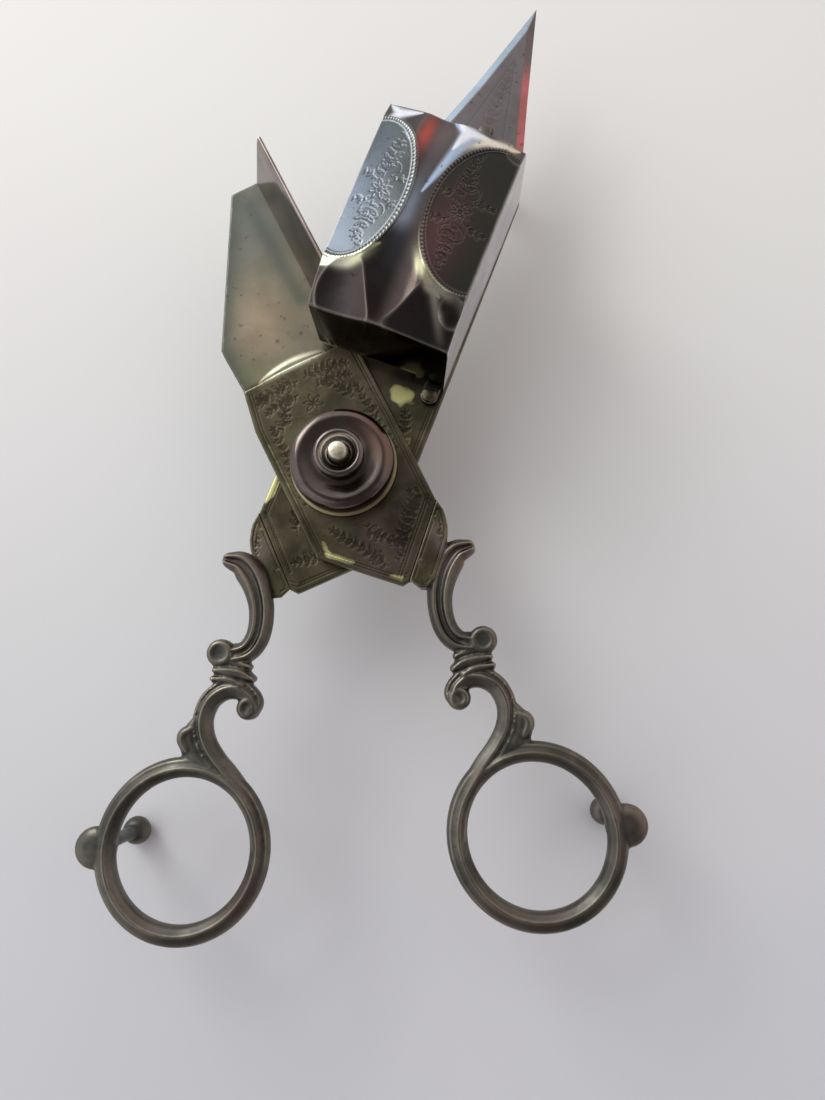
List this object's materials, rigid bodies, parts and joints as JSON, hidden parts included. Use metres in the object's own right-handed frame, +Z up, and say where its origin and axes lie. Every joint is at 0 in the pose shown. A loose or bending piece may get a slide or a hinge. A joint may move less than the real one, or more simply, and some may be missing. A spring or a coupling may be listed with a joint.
{
  "type": "wick trimmer",
  "caption": "Scissor candle snuffers: a boxed blade with a pricking point, a tray blade with a press plate, scroll handles with finger rings, spring drum pivot, ball feet.",
  "frame": {"origin": "centre of the footprint box, on the surface that the feet stand on", "axes": "+Y from the finger rings to the pricking point, +Z up, +X to the right seen from above with the rings at the bottom"},
  "size_m": [0.089, 0.1606, 0.0333],
  "materials": {
    "blade_plate": "tarnished silver plate worn to brass, satin",
    "box_plate": "darkly tarnished mirror plate",
    "press_plate": "tarnished mirror plate",
    "drum_plate": "tarnished turned plate",
    "cast_handle": "dark casting with worn ridges",
    "rivet_brass": "worn bright",
    "spring_steel": "blued"
  },
  "bodies": {
    "box_arm": {"box_arm_blade": "blade_plate", "box_shell": "box_plate", "box_rivet_rear": "rivet_brass", "box_rivet_front": "rivet_brass", "box_arm_handle": "cast_handle", "box_arm_cuff_rivet_upper": "rivet_brass", "box_arm_cuff_rivet_lower": "rivet_brass", "box_arm_ring_foot": "cast_handle", "front_foot": "cast_handle", "pivot_pin": "rivet_brass", "lower_washer": "spring_steel", "spring_sleeve": "spring_steel", "drum_collar": "drum_plate"},
    "press_arm": {"press_arm_blade": "blade_plate", "press_plate": "press_plate", "press_rivet_rear": "rivet_brass", "press_rivet_front": "rivet_brass", "press_arm_handle": "cast_handle", "press_arm_cuff_rivet_upper": "rivet_brass", "press_arm_cuff_rivet_lower": "rivet_brass", "press_arm_ring_foot": "cast_handle", "middle_washer": "spring_steel", "drum_base": "rivet_brass", "spiral_spring": "spring_steel", "spring_drum": "drum_plate"}
  },
  "joints": [
    {"name": "arm_pivot", "type": "hinge", "parent": "box_arm", "child": "press_arm", "pos_m": [0, -0.00585, 0.018], "axis": [0, 0, 1], "range_deg": [-24.5, 22]}
  ]
}
